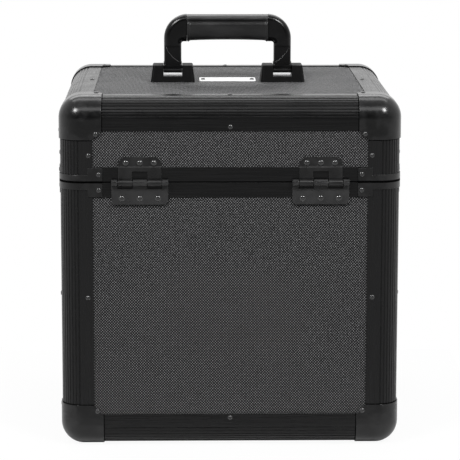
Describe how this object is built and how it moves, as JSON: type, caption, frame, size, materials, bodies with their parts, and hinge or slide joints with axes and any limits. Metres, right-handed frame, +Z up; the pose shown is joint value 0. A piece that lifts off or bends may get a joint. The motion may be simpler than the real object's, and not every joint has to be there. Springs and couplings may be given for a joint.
{
  "type": "record carrying case",
  "caption": "Upright record case with fluted edge profiles, rounded corner caps, a hinged lid, a fold-down handle and key-locking draw latches.",
  "frame": {"origin": "bottom centre of the whole object's box, on the plane that the four bottom corner caps rest on; the case's own middle is 4.9 mm towards -Y, because the latches stand out further than the hinges", "axes": "+Z up; -Y is the hinge side; +Y is the latch side; +X is to the right seen from the hinge side"},
  "size_m": [0.3546, 0.3652, 0.4372],
  "materials": {
    "black_aluminium": "satin black anodised, fluted",
    "black_cap": "smooth satin black moulding",
    "black_steel": "black coated steel",
    "bright_steel": "bright plated steel",
    "foam": "black foam sheet",
    "grip_rubber": "soft black sleeve",
    "handle_plastic": "satin black moulding",
    "laminate": "dark grey diamond-embossed laminate on plywood",
    "plate_metal": "bare satin aluminium"
  },
  "bodies": {
    "base": {"base_rear_panel": "laminate", "base_rear_edge": "black_aluminium", "base_rear_rim": "black_aluminium", "base_front_panel": "laminate", "base_front_edge": "black_aluminium", "base_front_rim": "black_aluminium", "base_left_panel": "laminate", "base_left_edge": "black_aluminium", "base_left_rim": "black_aluminium", "base_right_panel": "laminate", "base_right_edge": "black_aluminium", "base_right_rim": "black_aluminium", "base_rear_left_cap": "black_cap", "base_rear_right_cap": "black_cap", "base_front_left_cap": "black_cap", "base_front_right_cap": "black_cap", "base_uprights": "black_aluminium", "base_rim_brackets": "black_steel", "base_lining": "foam", "base_rivets": "black_steel", "base_floor_panel": "laminate", "hinge_lower_leaves": "black_steel", "hinge_pins": "black_steel", "latch_plates": "black_steel", "latch_lever_pins": "black_steel"},
    "lid": {"lid_rear_panel": "laminate", "lid_rear_edge": "black_aluminium", "lid_rear_rim": "black_aluminium", "lid_front_panel": "laminate", "lid_front_edge": "black_aluminium", "lid_front_rim": "black_aluminium", "lid_left_panel": "laminate", "lid_left_edge": "black_aluminium", "lid_left_rim": "black_aluminium", "lid_right_panel": "laminate", "lid_right_edge": "black_aluminium", "lid_right_rim": "black_aluminium", "lid_rear_left_cap": "black_cap", "lid_rear_right_cap": "black_cap", "lid_front_left_cap": "black_cap", "lid_front_right_cap": "black_cap", "lid_uprights": "black_aluminium", "lid_rim_brackets": "black_steel", "lid_lining": "foam", "lid_rivets": "black_steel", "lid_top_panel": "laminate", "hinge_upper_leaves": "black_steel", "latch_keepers": "black_steel", "handle_brackets": "handle_plastic", "handle_straps": "bright_steel", "handle_pins": "bright_steel", "nameplate": "plate_metal"},
    "handle": {"handle_bail": "handle_plastic", "handle_grip": "grip_rubber"},
    "lever_left": {"latch_lever_left": "black_steel"},
    "claw_left": {"latch_claw_left": "black_steel"},
    "lock_left": {"lock_cylinder_left": "bright_steel"},
    "lever_right": {"latch_lever_right": "black_steel"},
    "claw_right": {"latch_claw_right": "black_steel"},
    "lock_right": {"lock_cylinder_right": "bright_steel"}
  },
  "joints": [
    {"name": "lid_hinge", "type": "hinge", "parent": "base", "child": "lid", "pos_m": [0, -0.17895, 0.2792], "axis": [1, 0, 0], "range_deg": [0, 105]},
    {"name": "handle_fold", "type": "hinge", "parent": "lid", "child": "handle", "pos_m": [0, -0.0049, 0.3798], "axis": [1, 0, 0], "range_deg": [-90, 90]},
    {"name": "lever_left_hinge", "type": "hinge", "parent": "base", "child": "lever_left", "pos_m": [-0.094, 0.1703, 0.2662], "axis": [1, 0, 0], "range_deg": [0, 100]},
    {"name": "claw_left_pivot", "type": "hinge", "parent": "lever_left", "child": "claw_left", "pos_m": [-0.094, 0.1738, 0.2592], "axis": [1, 0, 0], "range_deg": [-100, 0]},
    {"name": "lock_left_turn", "type": "hinge", "parent": "lever_left", "child": "lock_left", "pos_m": [-0.094, 0.1786, 0.2332], "axis": [0, 1, 0], "range_deg": [0, 90]},
    {"name": "lever_right_hinge", "type": "hinge", "parent": "base", "child": "lever_right", "pos_m": [0.094, 0.1703, 0.2662], "axis": [1, 0, 0], "range_deg": [0, 100]},
    {"name": "claw_right_pivot", "type": "hinge", "parent": "lever_right", "child": "claw_right", "pos_m": [0.094, 0.1738, 0.2592], "axis": [1, 0, 0], "range_deg": [-100, 0]},
    {"name": "lock_right_turn", "type": "hinge", "parent": "lever_right", "child": "lock_right", "pos_m": [0.094, 0.1786, 0.2332], "axis": [0, 1, 0], "range_deg": [0, 90]}
  ],
  "couplings": [
    {"joint": "claw_left_pivot", "follows": "lever_left_hinge", "ratio": -1},
    {"joint": "claw_right_pivot", "follows": "lever_right_hinge", "ratio": -1}
  ]
}
